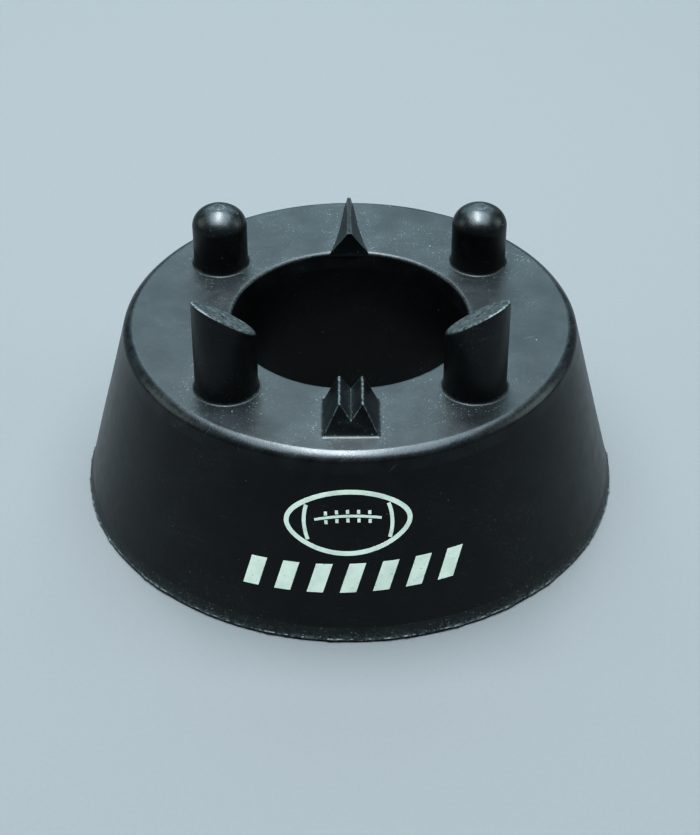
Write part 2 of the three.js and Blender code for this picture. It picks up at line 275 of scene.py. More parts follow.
def rubber(name, black, dirt, gloss, bloom, dust, scuffs, grain, seed, scratch_turns=WALL_SCRATCHES):
    """Black rubber. gloss is the clean skin's roughness. The other numbers are amounts from 0 to 1."""
    material = bpy.data.materials.new(name)
    material.use_nodes = True
    tree = material.node_tree
    skin = tree.nodes["Principled BSDF"]
    skin.inputs["IOR"].default_value = 1.48
    place = node(tree, "ShaderNodeTexCoord").outputs["Object"]
    wear_and_rim_highlight = node(tree, "ShaderNodeAttribute", attribute_name="wear").outputs["Fac"]
    crevice = node(tree, "ShaderNodeAttribute", attribute_name="crevice").outputs["Fac"]
    polished = node(tree, "ShaderNodeAttribute", attribute_name="polish").outputs["Fac"]

    # Dust gathers in patches 22 mm across and in crevices, as fine specks. A few coarse ones lie anywhere.
    drifts = clouds(tree, place, 22, 0.46, 0.70, seed + 1)
    gathered = node(tree, "ShaderNodeMath", {0: crevice, 1: 1.4, 2: drifts},
                    operation="MULTIPLY_ADD", use_clamp=True)
    fine = specks(tree, place, 0.8, 0.28, 0.5, seed + 2)
    powder = clouds(tree, place, 0.7, 0.58, 0.74, seed + 3, detail=2.0)
    sown = node(tree, "ShaderNodeMath", {0: powder, 1: 0.3, 2: fine},
                operation="MULTIPLY_ADD", use_clamp=True)
    drifted = node(tree, "ShaderNodeMath", {0: sown, 1: gathered}, operation="MULTIPLY")
    coarse = specks(tree, place, 2.4, 0.13, 0.3 * dust, seed + 4)
    all_dust = node(tree, "ShaderNodeMath", {0: drifted, 1: coarse}, operation="MAXIMUM")
    dusted = node(tree, "ShaderNodeMath", {0: all_dust, 1: dust}, operation="MULTIPLY")

    # Scratches run two ways, and rubbed edges are mottled in patches of 0.9 mm. On the near pegs' rims the
    # rubbed mask is partly a painted highlight.
    first = scratches(tree, place, scratch_turns[0], 7, 0.35, 0.30, seed + 5)
    second = scratches(tree, place, scratch_turns[1], 5, 0.30, 0.29, seed + 6)
    scratched = node(tree, "ShaderNodeMath", {0: first, 1: second}, operation="MAXIMUM")
    scuffed = node(tree, "ShaderNodeMath", {0: scratched, 1: scuffs}, operation="MULTIPLY")
    mottle = clouds(tree, place, 0.9, 0.38, 0.66, seed + 7)
    rubbed = node(tree, "ShaderNodeMath", {0: wear_and_rim_highlight, 1: mottle}, operation="MULTIPLY")

    # Bloom is a thin grey film in cloudy patches of 9 mm.
    film = clouds(tree, place, 9, 0.32, 0.75, seed + 8, detail=5.0)
    film_and_dust = node(tree, "ShaderNodeMath", {0: film, 1: gathered}, operation="ADD")
    bloomed = node(tree, "ShaderNodeMath", {0: film_and_dust, 1: bloom}, operation="MULTIPLY")

    marks = node(tree, "ShaderNodeMath", {0: rubbed, 1: scuffed}, operation="MAXIMUM")
    half_marks = node(tree, "ShaderNodeMath", {0: marks, 1: 0.4}, operation="MULTIPLY")
    pale = node(tree, "ShaderNodeMath", {0: half_marks, 1: dusted}, operation="MAXIMUM")
    cover = node(tree, "ShaderNodeMath", {0: bloomed, 1: 0.05, 2: pale},
                 operation="MULTIPLY_ADD", use_clamp=True)
    colour = node(tree, "ShaderNodeMix", {"Factor": cover, 6: srgb(black), 7: srgb(dirt)}, data_type="RGBA")
    tree.links.new(colour.outputs[2], skin.inputs["Base Color"])

    # The roughness starts from the clean skin's, is lower where the rubber is polished and higher under dirt.
    patchy = clouds(tree, place, 4, 0.3, 0.7, seed + 9)
    uneven = node(tree, "ShaderNodeMapRange",
                  {"Value": patchy, "To Min": gloss - 0.02, "To Max": gloss + 0.03})
    smoothed = node(tree, "ShaderNodeMath", {0: polished, 1: -POLISH, 2: uneven}, operation="MULTIPLY_ADD")
    filmed = node(tree, "ShaderNodeMath", {0: bloomed, 1: 0.06, 2: smoothed}, operation="MULTIPLY_ADD")
    dull = node(tree, "ShaderNodeMath", {0: pale, 1: 0.35, 2: filmed},
                operation="MULTIPLY_ADD", use_clamp=True)
    tree.links.new(dull.outputs[0], skin.inputs["Roughness"])

    # The relief is a soft pebble of 2.6 mm and a fine one of 0.5 mm. Dust stands up and scratches cut in.
    pebble = node(tree, "ShaderNodeTexNoise", {"Vector": place, "Scale": 1000 / 2.6, "Detail": 3.0})
    fine_pebble = node(tree, "ShaderNodeTexNoise", {"Vector": place, "Scale": 1000 / 0.5, "Detail": 2.0})
    pebbles = node(tree, "ShaderNodeMath", {0: fine_pebble, 1: 0.5, 2: pebble}, operation="MULTIPLY_ADD")
    proud = node(tree, "ShaderNodeMath", {0: dusted, 1: scuffed}, operation="SUBTRACT")
    relief = node(tree, "ShaderNodeMath", {0: proud, 1: 0.8, 2: pebbles}, operation="MULTIPLY_ADD")
    bump = node(tree, "ShaderNodeBump", {"Strength": grain, "Distance": 0.3 * MM, "Height": relief})
    tree.links.new(bump.outputs["Normal"], skin.inputs["Normal"])
    return material


DUST_GREY = "#8F9A9A"
deck_rubber = rubber("dusty_moulded_rubber", "#0D0F10", DUST_GREY, gloss=0.40, bloom=0.5, dust=0.5,
                     scuffs=0.35, grain=0.14, seed=0, scratch_turns=DECK_SCRATCHES)
skirt_rubber = rubber("smooth_moulded_rubber", "#0A0C0C", DUST_GREY, gloss=0.32, bloom=0.15, dust=0.25,
                      scuffs=0.2, grain=0.10, seed=20)
foot_rubber = rubber("trodden_moulded_rubber", "#0D0F0F", DUST_GREY, gloss=0.42, bloom=0.5, dust=0.8,
                     scuffs=0.3, grain=0.2, seed=40)
# The throat's black is darker than the other pieces': painted shade for the inside of the hole.
throat_rubber = rubber("shaded_moulded_rubber", "#070808", DUST_GREY, gloss=0.38, bloom=0.2, dust=0.5,
                       scuffs=0.2, grain=0.12, seed=60)
peg_rubber = rubber("handled_moulded_rubber", "#0A0C0C", DUST_GREY, gloss=0.36, bloom=0.35, dust=0.4,
                    scuffs=0.35, grain=0.14, seed=80)
sight_rubber = rubber("crisp_moulded_rubber", "#0B0D0E", DUST_GREY, gloss=0.36, bloom=0.45, dust=0.6,
                      scuffs=0.3, grain=0.14, seed=100)
web_rubber = rubber("matt_moulded_rubber", "#131516", DUST_GREY, gloss=0.5, bloom=0.6, dust=0.5,
                    scuffs=0.1, grain=0.25, seed=120)
print("rubber finishes:", [m.name for m in bpy.data.materials if "rubber" in m.name])

# %% [markdown]
# ## One node tree turns every round piece
# Deck, skirt, foot, throat and pegs are all outlines turned about an axis, so one Geometry Nodes tree makes
# them all. It lays a grid, reads its columns as angles and its rows as points of the outline, and moves
# every grid point to where it belongs. The Spin operator could do the same once, but a tree keeps its sizes
# as named inputs.
#
# A moulding is never quite true. It shrinks as it cools, and its walls wave by a tenth of a millimetre over
# a few centimetres, which is what bends the long highlights. A group of nodes adds that. It reads only the
# place in space, so two pieces that meet are bent alike and their seam stays closed.


# %% Build the tree that turns an outline
WAVE_HEIGHT = 0.3 * MM
WAVE_LENGTH = 24 * MM


def new_tree(name, **inputs):
    """A Geometry Nodes tree with a mesh input and output, and named number inputs with their defaults."""
    tree = bpy.data.node_groups.new(name, "GeometryNodeTree")
    tree.interface.new_socket("Geometry", in_out="OUTPUT", socket_type="NodeSocketGeometry")
    tree.interface.new_socket("Geometry", in_out="INPUT", socket_type="NodeSocketGeometry")
    for label, value in inputs.items():
        kind = "NodeSocketInt" if isinstance(value, int) else "NodeSocketFloat"
        socket = tree.interface.new_socket(label, in_out="INPUT", socket_type=kind)
        socket.default_value = value
    tree.interface.new_socket("Material", in_out="INPUT", socket_type="NodeSocketMaterial")
    return tree


def close_tree(tree, geometry, given):
    """Ends a tree: the two last steps are Realize Instances and Set Material."""
    real = node(tree, "GeometryNodeRealizeInstances", {"Geometry": geometry})
    painted = node(tree, "GeometryNodeSetMaterial", {"Geometry": real, "Material": given.outputs["Material"]})
    node(tree, "NodeGroupOutput", {0: painted})


def moulded_waves(tree, place, given):
    """The offset of a point on a moulding that has shrunk unevenly."""
    scale = node(tree, "ShaderNodeMath", {0: 1.0, 1: given.outputs["wave_length"]}, operation="DIVIDE")
    noise = node(tree, "ShaderNodeTexNoise", {"Vector": place, "Scale": scale, "Detail": 1.0, "W": 4.0},
                 noise_dimensions="4D")
    centred = node(tree, "ShaderNodeVectorMath", {0: noise.outputs["Color"], 1: (0.5, 0.5, 0.5)},
                   operation="SUBTRACT")
    return node(tree, "ShaderNodeVectorMath", {0: centred, "Scale": given.outputs["wave_height"]},
                operation="SCALE")


def turning_tree():
    """Turns an outline about the Z axis, bends it with the waves, and closes its seam and poles."""
    tree = new_tree("turn_an_outline", segments=360, wave_height=WAVE_HEIGHT, wave_length=WAVE_LENGTH)
    given = node(tree, "NodeGroupInput")
    outline = given.outputs["Geometry"]
    rows = node(tree, "GeometryNodeAttributeDomainSize", {"Geometry": outline}).outputs["Point Count"]
    columns = node(tree, "ShaderNodeMath", {0: given.outputs["segments"], 1: 1.0}, operation="ADD")
    grid = node(tree, "GeometryNodeMeshGrid", {"Size X": 1.0, "Size Y": 1.0, "Vertices X": columns,
                                               "Vertices Y": rows})
    spot = node(tree, "ShaderNodeSeparateXYZ", {0: node(tree, "GeometryNodeInputPosition")})
    turn = node(tree, "ShaderNodeMath", {0: spot.outputs["X"], 1: 0.5}, operation="ADD")
    angle = node(tree, "ShaderNodeMath", {0: turn, 1: 2 * math.pi}, operation="MULTIPLY")
    share = node(tree, "ShaderNodeMath", {0: spot.outputs["Y"], 1: 0.5}, operation="ADD")
    last_row = node(tree, "ShaderNodeMath", {0: rows, 1: 1.0}, operation="SUBTRACT")
    row = node(tree, "ShaderNodeMath", {0: share, 1: last_row}, operation="MULTIPLY")
    whole_row = node(tree, "ShaderNodeMath", {0: row}, operation="ROUND")
    point = node(tree, "GeometryNodeSampleIndex",
                 {"Geometry": outline, "Value": node(tree, "GeometryNodeInputPosition"), "Index": whole_row},
                 data_type="FLOAT_VECTOR", domain="POINT")
    turned = node(tree, "ShaderNodeVectorRotate", {"Vector": point, "Angle": angle}, rotation_type="Z_AXIS")
    waves = moulded_waves(tree, turned, given)
    shaped = node(tree, "GeometryNodeSetPosition",
                  {"Geometry": grid.outputs["Mesh"], "Position": turned, "Offset": waves})
    merged = node(tree, "GeometryNodeMergeByDistance", {"Geometry": shaped, "Distance": 0.002 * MM})
    smooth = node(tree, "GeometryNodeSetShadeSmooth", {"Geometry": merged})
    close_tree(tree, smooth, given)
    return tree


TURN = turning_tree()
print("tree", TURN.name, "has", len(TURN.nodes), "nodes")

# %% [markdown]
# ## From outline to piece
# An outline is a list of points: distance from the axis, and height. It runs counterclockwise, so the faces
# that it turns into point outwards. Rounds are arcs, and long straights are cut into short rows so that the
# waves have points to move. The tree runs as a modifier, and what it makes is then kept as a plain mesh.


# %% Helpers for outlines and meshes
def line(start, end, step_mm=1.5):
    """Points from start towards end, in equal steps of about step_mm. The end itself is left out."""
    count = max(1, round((Vector(end) - Vector(start)).length / (step_mm * MM)))
    return [tuple(Vector(start).lerp(Vector(end), i / count)) for i in range(count)]


def arc(r, z, radius, start, end, steps):
    """Points on an arc about (r, z), from one angle to another in radians, both ends included."""
    angles = [start + (end - start) * i / steps for i in range(steps + 1)]
    return [(r + radius * math.cos(a), z + radius * math.sin(a)) for a in angles]


def grow(name, source, tree, material, **sizes):
    """Runs a tree on a source mesh and returns an object that holds the result as a plain mesh."""
    piece = bpy.data.objects.new(name, source)
    modifier = piece.modifiers.new(tree.name, "NODES")
    modifier.node_group = tree
    sizes["Material"] = material
    for item in tree.interface.items_tree:
        if item.in_out == "INPUT" and item.name in sizes:
            modifier[item.identifier] = sizes[item.name]
    bpy.context.scene.collection.objects.link(piece)
    grown = piece.evaluated_get(bpy.context.evaluated_depsgraph_get())
    mesh = bpy.data.meshes.new_from_object(grown)
    mesh.name = name
    piece.modifiers.clear()
    piece.data = mesh
    return piece


def turn_outline(name, outline, material, **sizes):
    """Turns a list of (distance, height) points about the Z axis."""
    source = bpy.data.meshes.new(name + "_outline")
    edges = [(i, i + 1) for i in range(len(outline) - 1)]
    source.from_pydata([(r, 0, z) for r, z in outline], edges, [])
    return grow(name, source, TURN, material, **sizes)


def places(piece):
    """The places of a piece's points, as rows of x, y and z."""
    flat = np.empty(len(piece.data.vertices) * 3, np.float32)
    piece.data.vertices.foreach_get("co", flat)
    return flat.reshape(-1, 3).astype(float)


def move_points(piece, new_places):
    """Puts a piece's points at new places."""
    piece.data.vertices.foreach_set("co", np.asarray(new_places, np.float32).ravel())
    piece.data.update()


def paint(piece, attribute, amounts):
    """Stores an amount from 0 to 1 at each point, for the finishes to read."""
    layer = piece.data.attributes.new(attribute, "FLOAT", "POINT")
    layer.data.foreach_set("value", np.clip(amounts, 0, 1).astype(np.float32))


def hand_over(piece, slot, *nodes, sharp_angle=40):
    """Marks a finished piece's sharp edges, hangs it under the root, hides the design nodes it replaces and
    prints its size.
    """
    piece.data.set_sharp_from_angle(angle=math.radians(sharp_angle))
    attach(piece, "root")
    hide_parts(*nodes)
    check = bmesh.new()
    check.from_mesh(piece.data)
    open_edges = sum(not edge.is_manifold for edge in check.edges)
    volume = check.calc_volume() / MM ** 3
    print(f"{piece.name}: {len(check.faces)} faces, {volume:.0f} mm3, {open_edges} open edges")
    check.free()


# %% [markdown]
# ## The deck
# The deck is the top of the moulding: a flat ring with a rounded shoulder outside and a small round at the
# lip of the hole. The shoulder is the brightest line on the whole tee. It isn't one arc: it turns down
# quickly at first, then slowly, then quickly again onto the skirt, which is why its highlight starts with a
# crisp edge. Rim and hole carry on the slopes of the walls below, and the joints between deck and walls
# fall where the slope is straight.
#
# Dust lies thick round the foot of each peg and sight, where no cloth reaches. A soft ring round each foot
# is painted as the "crevice" attribute. The shoulder and the lip are painted as "wear", and the shoulder as
# "polish" too, which fades on the wall below it to match the skirt's own gloss.

# %% Turn the deck
PEGS = ("near_left_peg", "near_right_peg", "far_left_peg", "far_right_peg")


def middle(name):
    """The middle of a design node, seen from above."""
    low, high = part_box(name)
    return np.array([(low.x + high.x) / 2, (low.y + high.y) / 2])


def shoulder(bends, steps=6):
    """The shoulder, from the skirt up to the flat. Each bend has a radius and the slope that it ends at."""
    slope, path = 0.0, [(0.0, 0.0)]
    for radius, last_slope in bends:
        out, down = path[-1]
        for angle in np.linspace(slope, last_slope, steps + 1)[1:]:
            path.append((out + radius * (math.sin(angle) - math.sin(slope)),
                         down + radius * (math.cos(slope) - math.cos(angle))))
        slope = last_slope
    out, down = path[-1]
    start = skirt_radius(DECK_TOP - down) - out
    return [(start + way_out, DECK_TOP - way_down) for way_out, way_down in path[::-1]]


SHOULDER = shoulder([(1.4 * MM, math.radians(18)),
                     (5 * MM, math.radians(50)),
                     (2.5 * MM, math.pi / 2 - SKIRT_LEAN)])
print(f"the flat ends {SHOULDER[-1][0] / MM:.2f} mm from the axis")
LIP = arc(throat_radius(DECK_TOP) + LIP_ROUND, DECK_TOP - LIP_ROUND, LIP_ROUND, math.pi / 2, math.pi, 8)
UNDERSIDE_IN = (throat_radius(DECK_UNDERSIDE), DECK_UNDERSIDE)
UNDERSIDE_OUT = (skirt_radius(DECK_UNDERSIDE), DECK_UNDERSIDE)

deck_outline = line(UNDERSIDE_IN, UNDERSIDE_OUT, 4) + line(UNDERSIDE_OUT, SHOULDER[0], 0.8) + SHOULDER
deck_outline += line(SHOULDER[-1], LIP[0], 0.9)[1:] + LIP
deck_outline += line(LIP[-1], UNDERSIDE_IN, 1)[1:] + [UNDERSIDE_IN]
deck = turn_outline("deck", deck_outline, deck_rubber, segments=480)

# %% Paint where dust gathers and hands rub on the deck
PEG_DUST_REACH = 4 * MM
SIGHT_DUST_REACH = 3 * MM
spots = places(deck)
distance = np.hypot(spots[:, 0], spots[:, 1])
crevice = np.zeros(len(spots))
for name in PEGS:
    low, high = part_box(name)
    gap = np.hypot(*(spots[:, :2] - middle(name)).T) - (high.x - low.x) / 2
    crevice = np.maximum(crevice, np.exp(-np.maximum(gap, 0) / PEG_DUST_REACH))
for name in ("notch_sight", "ridge_sight"):
    low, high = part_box(name)
    half = np.array([high.x - low.x, high.y - low.y]) / 2
    gap = np.linalg.norm(np.maximum(np.abs(spots[:, :2] - middle(name)) - half, 0), axis=1)
    crevice = np.maximum(crevice, 0.8 * np.exp(-gap / SIGHT_DUST_REACH))
paint(deck, "crevice", crevice * (spots[:, 2] > DECK_TOP - 0.5 * MM))
below = DECK_TOP - spots[:, 2]
shoulder_wear = np.exp(-((distance - SHOULDER[-1][0] - 1.4 * MM) / (1.5 * MM)) ** 2) * (below < 3 * MM)
lip_wear = np.exp(-((distance - throat_radius(DECK_TOP) - 0.4 * MM) / (0.6 * MM)) ** 2) * (below < 0.7 * MM)
paint(deck, "wear", np.maximum(0.08 * shoulder_wear, 0.2 * lip_wear))
on_shoulder = np.clip((distance - SHOULDER[-1][0]) / (0.7 * MM), 0, 1)
paint(deck, "polish", on_shoulder * (0.6 + 0.4 * np.clip((4.5 * MM - below) / (2 * MM), 0, 1)))
hand_over(deck, "deck_rubber", "top_deck")

# %% [markdown]
# ## The skirt, the throat and the foot
# Below the deck the moulding is two thin walls with a hollow between them: the skirt outside and the throat
# round the hole. The skirt stands on a thicker foot.
#
# Where the two halves of a mould meet, rubber squeezes out as a paper-thin flash. It is trimmed by hand,
# and a ragged edge stays. The foot's outline has a thin lip for it, whose points are then pushed in and out
# at random.

# %% Turn the walls
wall_outline = line((skirt_radius(RIM_TOP), RIM_TOP), UNDERSIDE_OUT, 1.2)
skirt_inner = (skirt_radius(DECK_UNDERSIDE) - SKIRT_WALL, DECK_UNDERSIDE)
skirt_inner_foot = (skirt_radius(RIM_TOP) - SKIRT_WALL, RIM_TOP)
wall_outline += line(UNDERSIDE_OUT, skirt_inner, 3) + line(skirt_inner, skirt_inner_foot, 3)
wall_outline += line(skirt_inner_foot, wall_outline[0], 3) + [wall_outline[0]]
skirt = turn_outline("skirt", wall_outline, skirt_rubber, segments=480)
spots = places(skirt)
paint(skirt, "crevice", 0.35 * np.exp(-(spots[:, 2] - RIM_TOP) / (5 * MM)))
hand_over(skirt, "skirt_rubber", "outer_skirt")

throat_foot = (throat_radius(0), 0)
throat_back_foot = (throat_radius(0) + THROAT_WALL, 0)
throat_back_top = (UNDERSIDE_IN[0] + THROAT_WALL, DECK_UNDERSIDE)
throat_outline = line(throat_foot, throat_back_foot, 2) + line(throat_back_foot, throat_back_top, 2.5)
throat_outline += line(throat_back_top, UNDERSIDE_IN, 2)
throat_outline += line(UNDERSIDE_IN, throat_foot, 1.2) + [throat_foot]
throat = turn_outline("throat", throat_outline, throat_rubber, segments=360)
hand_over(throat, "throat_rubber", "throat_wall")

# %% Turn the foot and rag its flash
FOOT_ROUND = 0.7 * MM
FLASH_HEIGHT = 0.9 * MM
FLASH_THICKNESS = 0.25 * MM
FLASH_REACH = 0.55 * MM
foot_edge = (skirt_radius(RIM_TOP), RIM_TOP)
foot_back = (skirt_radius(RIM_TOP) - RIM_WIDTH, RIM_TOP)
foot_inner = (BASE_RADIUS - RIM_WIDTH, 0)
flash_tip = (skirt_radius(FLASH_HEIGHT) + 0.1 * MM, FLASH_HEIGHT)
foot_outline = line(foot_inner, (BASE_RADIUS - FOOT_ROUND, 0), 2)
foot_outline += arc(BASE_RADIUS - FOOT_ROUND, FOOT_ROUND, FOOT_ROUND, -math.pi / 2, 0, 4)
foot_outline += [flash_tip, (skirt_radius(FLASH_HEIGHT + FLASH_THICKNESS), FLASH_HEIGHT + FLASH_THICKNESS)]
foot_outline += line((skirt_radius(2 * FLASH_HEIGHT), 2 * FLASH_HEIGHT), foot_edge, 0.8)
foot_outline += line(foot_edge, foot_back, 2) + line(foot_back, foot_inner, 2) + [foot_inner]
foot = turn_outline("foot", foot_outline, foot_rubber, segments=960)

spots = places(foot)
distance = np.hypot(spots[:, 0], spots[:, 1])
on_flash = (np.abs(spots[:, 2] - FLASH_HEIGHT) < 0.12 * MM) & (distance > skirt_radius(0) - 0.6 * MM)
coarse = np.array([mathutils.noise.noise(Vector(p) / (6 * MM)) for p in spots[on_flash]])
fine = np.array([mathutils.noise.noise(Vector(p) / (1.3 * MM)) for p in spots[on_flash]])
reach = FLASH_REACH * np.clip(0.25 + 0.9 * coarse + 0.5 * fine, 0, 1)
outward = spots[on_flash] * [1, 1, 0] / distance[on_flash][:, None]
spots[on_flash] += outward * reach[:, None]
spots[on_flash, 2] += 0.4 * MM * fine
move_points(foot, spots)
paint(foot, "wear", np.exp(-spots[:, 2] / (1.2 * MM)) * (distance > BASE_RADIUS - 2 * MM))
paint(foot, "crevice", 0.7 * np.exp(-spots[:, 2] / (3 * MM)) + 0.2)
hand_over(foot, "foot_rubber", "foot_rim", sharp_angle=50)

# %% [markdown]
# ## The near pegs
# The two pegs on the kicker's side are tall and cut on a slant, so that the ball's flank lies flat on them.
# Each is turned as a round post with a flat top and a rounded rim. The post is then sheared: a point rises
# by the slant times its place along the slope, more and more from the foot to the rim, so the post's side
# stays straight.
#
# The slanted face sinks a little as the rubber cools, and in its middle is the mark of the vent that let
# air out of the mould. The fillet at the foot runs a tenth of a millimetre into the deck, so no gap shows.

# %% Turn the near pegs and shear their tops
FILLET = 0.9 * MM
SUNK = 0.15 * MM
SLANT = math.tan(math.radians(37.5))
FACING = {"near_right_peg": math.radians(-38), "near_left_peg": math.radians(38 - 180)}
RIM_ROUND = 1.3 * MM
TOP_SINK = 0.25 * MM
VENT = [(0.95, 0.0), (0.75, 0.05), (0.6, -0.3), (0.35, -0.55)]
PEG_WAVES = {"wave_height": 0.15 * MM, "wave_length": 9 * MM}


def peg_radius(name):
    """A peg's radius above its fillet."""
    low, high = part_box(name)
    return (high.x - low.x) / 2 - FILLET


def peg_foot(radius):
    """The start of a peg's outline: under the deck, then up the fillet onto the side."""
    round_foot = arc(radius + FILLET, FILLET, FILLET, -math.pi / 2, -math.pi, 6)
    return [(0, -SUNK), (radius * 0.6, -SUNK), (radius + FILLET * 1.15, -SUNK)] + round_foot


def stand(piece, name, turn):
    """Turns a peg made at the origin, and moves it to its place on the deck."""
    x, y = middle(name)
    piece.data.transform(Matrix.Translation((x, y, DECK_TOP)) @ Matrix.Rotation(turn, 4, "Z"))


for name in ("near_left_peg", "near_right_peg"):
    radius = peg_radius(name)
    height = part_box(name)[1].z - DECK_TOP - radius * SLANT
    rim = arc(radius - RIM_ROUND, height - RIM_ROUND, RIM_ROUND, 0, math.pi / 2, 8)
    outline = peg_foot(radius) + line((radius, FILLET), rim[0], 0.9)[1:] + rim
    outline += line(rim[-1], (1.2 * MM, height), 0.5)[1:] + [(r * MM, height + rise * MM) for r, rise in VENT]
    outline += [(0, height - 0.6 * MM)]
    peg = turn_outline(name + "_moulding", outline, peg_rubber, segments=120, **PEG_WAVES)
    spots = places(peg)
    distance = np.hypot(spots[:, 0], spots[:, 1])
    on_top = spots[:, 2] > height - RIM_ROUND * 0.6
    spots[:, 2] -= TOP_SINK * (1 - (distance / radius) ** 2) * on_top
    lift = np.clip((spots[:, 2] - FILLET) / (height - RIM_ROUND - FILLET), 0, 1)
    # The rim is painted paler, more on its high side: partly rubbed wear, partly a painted highlight.
    rim_wear_and_highlight = np.exp(-((distance - radius + 0.7 * MM) / (0.8 * MM)) ** 2) * on_top
    rim_wear_and_highlight *= np.clip(0.6 + spots[:, 0] / radius * 0.3, 0.3, 1)
    paint(peg, "wear", np.maximum(rim_wear_and_highlight, 0.42 * on_top))
    paint(peg, "crevice", np.maximum(0.9 * on_top, np.exp(-np.maximum(spots[:, 2], 0) / (1.0 * MM))))
    spots[:, 2] += lift * SLANT * spots[:, 0]
    move_points(peg, spots)
    stand(peg, name, FACING[name])
    hand_over(peg, "peg_rubber", name)

# %% [markdown]
# ## The far pegs
# The two pegs on the far side are shorter, with domed tops that the ball only leans on. The dome is a
# little flatter than half a ball, and a little smoother than the post below it. Near its top is the fine
# ring that the mould's vent leaves.

# %% Turn the far pegs
DOME = 6.4 * MM
RING_RADIUS = 1.5 * MM
RING_DEPTH = 0.12 * MM
for name in ("far_left_peg", "far_right_peg"):
    radius = peg_radius(name)
    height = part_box(name)[1].z - DECK_TOP
    climb = np.linspace(0, math.pi / 2, 33)[:-1]
    dome = [(radius * math.cos(a), height - DOME * (1 - math.sin(a))) for a in climb]
    outline = peg_foot(radius) + line((radius, FILLET), dome[0], 0.9)[1:] + dome + [(0, height)]
    peg = turn_outline(name + "_moulding", outline, peg_rubber, segments=120, **PEG_WAVES)
    spots = places(peg)
    distance = np.hypot(spots[:, 0], spots[:, 1])
    on_dome = spots[:, 2] > height - DOME
    groove = np.exp(-((distance - RING_RADIUS) / (0.35 * MM)) ** 2) * on_dome
    spots[:, 2] -= RING_DEPTH * groove
    move_points(peg, spots)
    paint(peg, "wear", 0.12 * on_dome * (spots[:, 2] - height + DOME) / DOME + 0.3 * groove)
    paint(peg, "crevice", np.exp(-np.maximum(spots[:, 2], 0) / (1.0 * MM)) + 0.3 * groove)
    paint(peg, "polish", 0.4 * np.clip((spots[:, 2] - height + DOME) / (1.5 * MM), 0, 1))
    stand(peg, name, 0.0)
    hand_over(peg, "peg_rubber", name)

# %% [markdown]
# ## The sights
# Two sights on the deck line the tee up with the posts: a notch on the kicker's side, with a V groove
# between two ridges, and one ridge on the far side, seen through the notch. Both are made the same way: a
# cross-section is drawn at one end and at the other, and skin is laid between them in short steps.
#
# The ridge is a little narrower in mid-length than straight lines would make it.
#
# A mould is milled, so its edges are crisp but not knife-sharp. A bevel of a quarter of a millimetre gives
# each edge a thin bright line. The foot flares out in a small fillet where the sight grows from the deck.


# %% Helpers for bodies with crisp edges
EDGE_ROUND = 0.28 * MM
SIGHT_FILLET = 0.7 * MM
FLARE_STEPS = 5


def densely(corners, step_mm=0.7):
    """A closed outline with points added along its sides. Its corners stay where they are."""
    points = []
    for start, end in zip(corners, corners[1:] + corners[:1]):
        points += line(start, end, step_mm)
    return points


def skin_between(name, first, last, steps, material):
    """A closed body between two outlines that have as many points as each other."""
    body = bmesh.new()
    rings = []
    for step in range(steps + 1):
        ring = [Vector(a).lerp(Vector(b), step / steps) for a, b in zip(first, last)]
        rings.append([body.verts.new(point) for point in ring])
    for near, far in zip(rings, rings[1:]):
        for i in range(len(near)):
            body.faces.new((near[i - 1], near[i], far[i], far[i - 1]))
    caps = [body.faces.new(rings[0]), body.faces.new(rings[-1])]
    bmesh.ops.recalc_face_normals(body, faces=body.faces)
    bmesh.ops.inset_individual(body, faces=caps, thickness=0.35 * MM)
    mesh = bpy.data.meshes.new(name)
    body.to_mesh(mesh)
    body.free()
    mesh.materials.append(material)
    piece = bpy.data.objects.new(name, mesh)
    bpy.context.scene.collection.objects.link(piece)
    return piece


def soften(piece, width, segments=3):
    """Rounds the sharp edges with a Bevel modifier and keeps the result as a plain mesh."""
    bevel = piece.modifiers.new("mould_round", "BEVEL")
    bevel.width = width
    bevel.segments = segments
    bevel.limit_method = "ANGLE"
    bevel.angle_limit = math.radians(28)
    rounded = piece.evaluated_get(bpy.context.evaluated_depsgraph_get())
    mesh = bpy.data.meshes.new_from_object(rounded)
    mesh.name = piece.name
    piece.modifiers.clear()
    piece.data = mesh


def flare_foot(piece, floor_height, reach, start_y=-1.0):
    """Spreads the foot of an upright body onto its floor in a concave fillet, beyond start_y along Y."""
    body = bmesh.new()
    body.from_mesh(piece.data)
    for step in range(FLARE_STEPS + 1):
        cut = floor_height + reach * (step / FLARE_STEPS) ** 1.5
        bmesh.ops.bisect_plane(body, geom=body.verts[:] + body.edges[:] + body.faces[:], dist=1e-7,
                               plane_co=(0, 0, cut), plane_no=(0, 0, 1))
    body.normal_update()
    for point in body.verts:
        below_top = 1 - max(0, point.co.z - floor_height) / reach
        outward = Vector((point.normal.x, point.normal.y, 0))
        fade = min(1, max(0, (point.co.y - start_y) / reach))
        if below_top > 0 and outward.length > 0.05:
            point.co += outward.normalized() * fade * reach * (1 - math.sqrt(1 - below_top ** 2))
    body.to_mesh(piece.data)
    body.free()


def rub_edges(piece, strength, lowest):
    """Paints wear on the edges that stand out, above a height."""
    body = bmesh.new()
    body.from_mesh(piece.data)
    wear = np.zeros(len(body.verts))
    for point in body.verts:
        bends = [edge.calc_face_angle(0) for edge in point.link_edges if edge.is_convex]
        wear[point.index] = strength * (max(bends, default=0) > math.radians(9)) * (point.co.z > lowest)
    body.free()
    paint(piece, "wear", wear)


